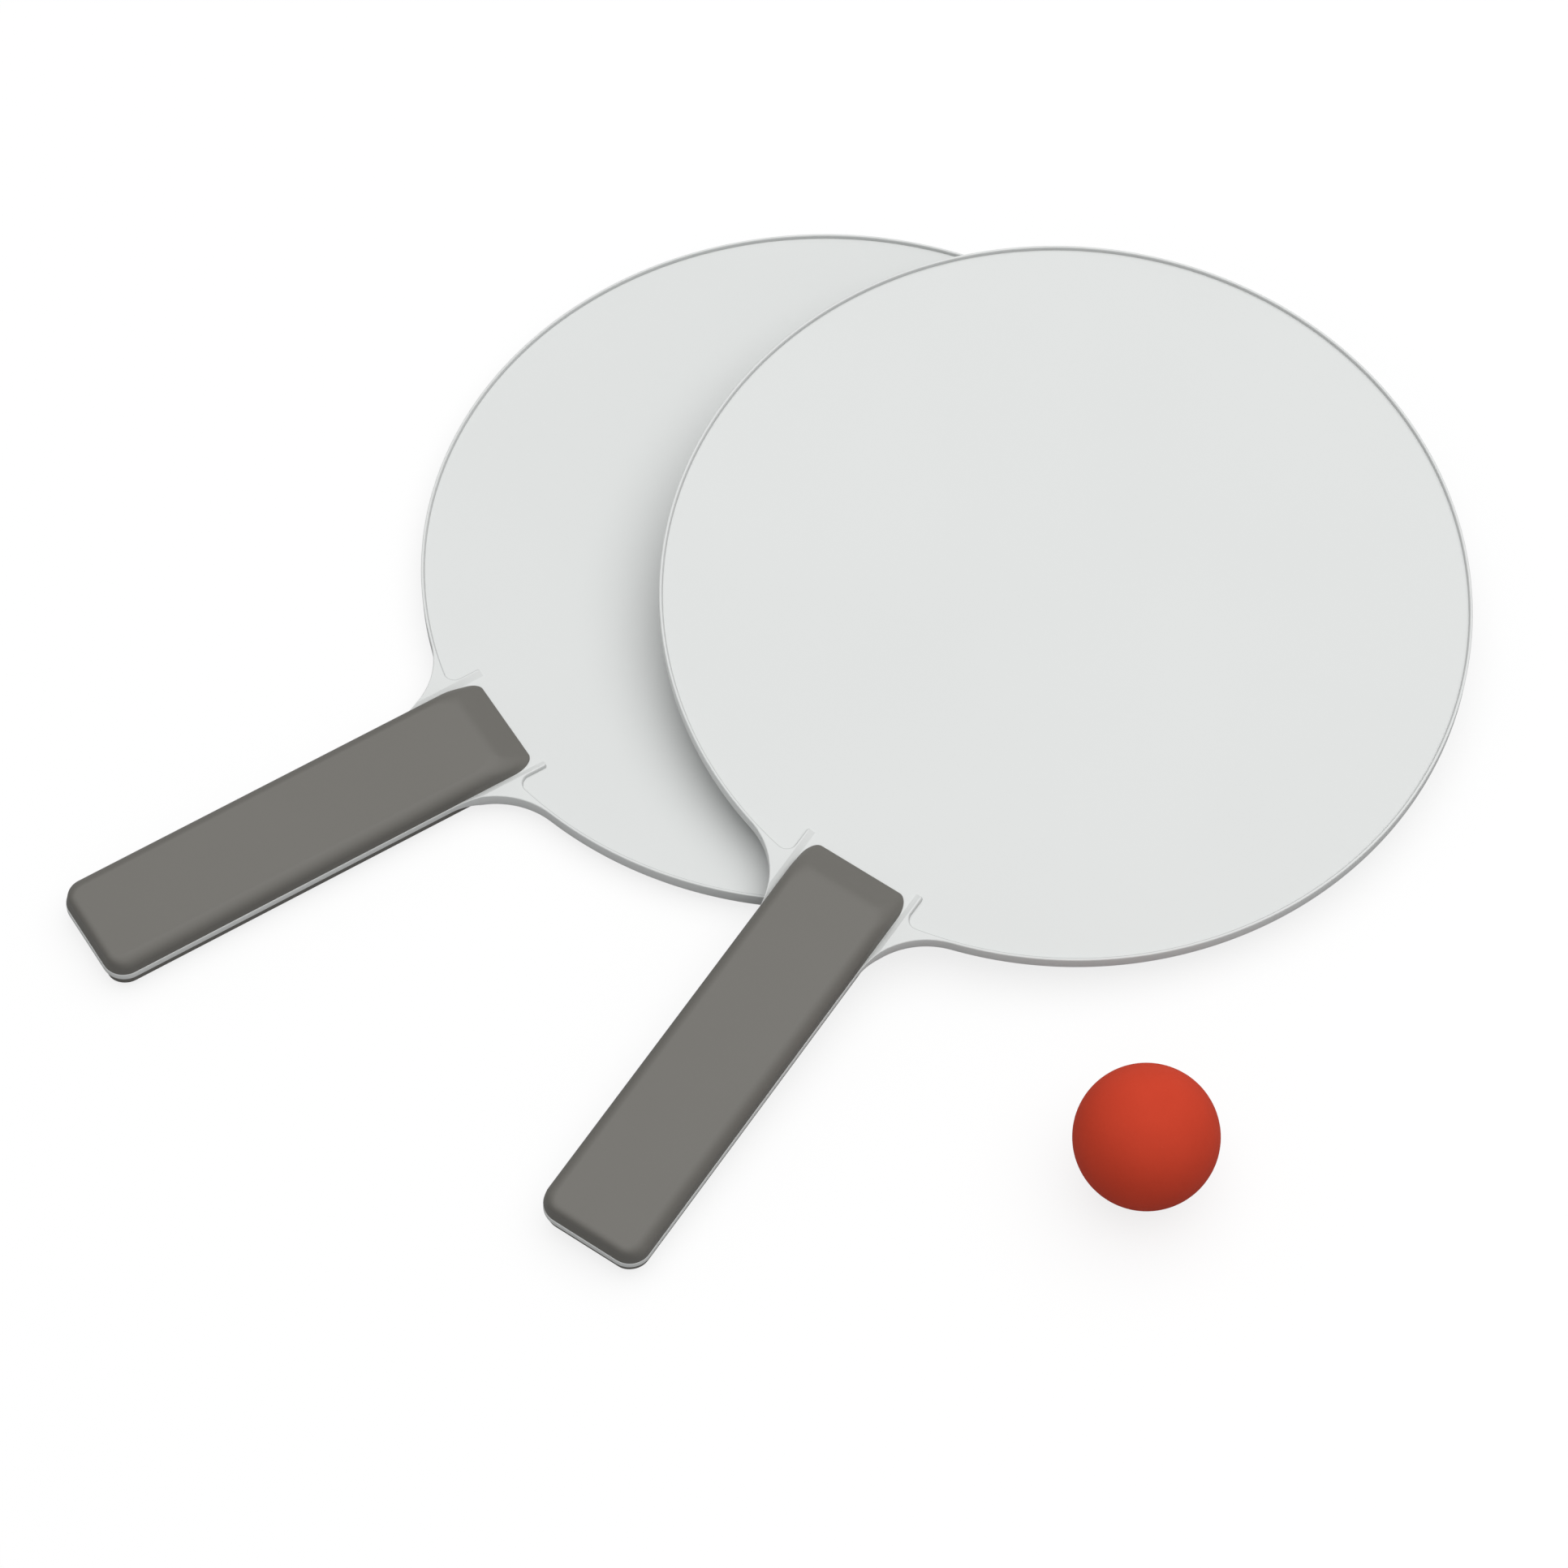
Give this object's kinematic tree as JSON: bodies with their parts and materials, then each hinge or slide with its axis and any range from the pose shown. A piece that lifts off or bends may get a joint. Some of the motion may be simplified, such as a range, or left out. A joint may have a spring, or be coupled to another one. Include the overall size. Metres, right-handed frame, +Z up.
{
  "type": "paddle ball game",
  "caption": "Paddle ball set: flat round bats with a raised rim, a flared neck and soft grip pads, one leaning on the other, and a solid ball.",
  "frame": {"origin": "on the table, under the middle of the whole set's outline seen from above", "axes": "+X to the right in the picture and along the set's longest extent, +Y away from the viewer, +Z up from the table"},
  "size_m": [0.3963, 0.3418, 0.04],
  "materials": {
    "blade": "pale grey moulded plastic, satin",
    "grip": "warm mid-grey soft rubber, fine matte grain",
    "ball": "orange-red rubber, matte with a fine speckle"
  },
  "bodies": {
    "rear_paddle": {"rear_blade": "blade", "rear_upper_grip": "grip", "rear_lower_grip": "grip"},
    "front_paddle": {"front_blade": "blade", "front_upper_grip": "grip", "front_lower_grip": "grip"},
    "ball": {"ball": "ball"}
  },
  "joints": [
    {"name": "front_paddle_lift", "type": "slide", "parent": "rear_paddle", "child": "front_paddle", "axis": [0, 0, 1], "range_m": [0, 0.12]},
    {"name": "ball_lift", "type": "slide", "parent": "rear_paddle", "child": "ball", "axis": [0, 0, 1], "range_m": [0, 0.06]}
  ]
}
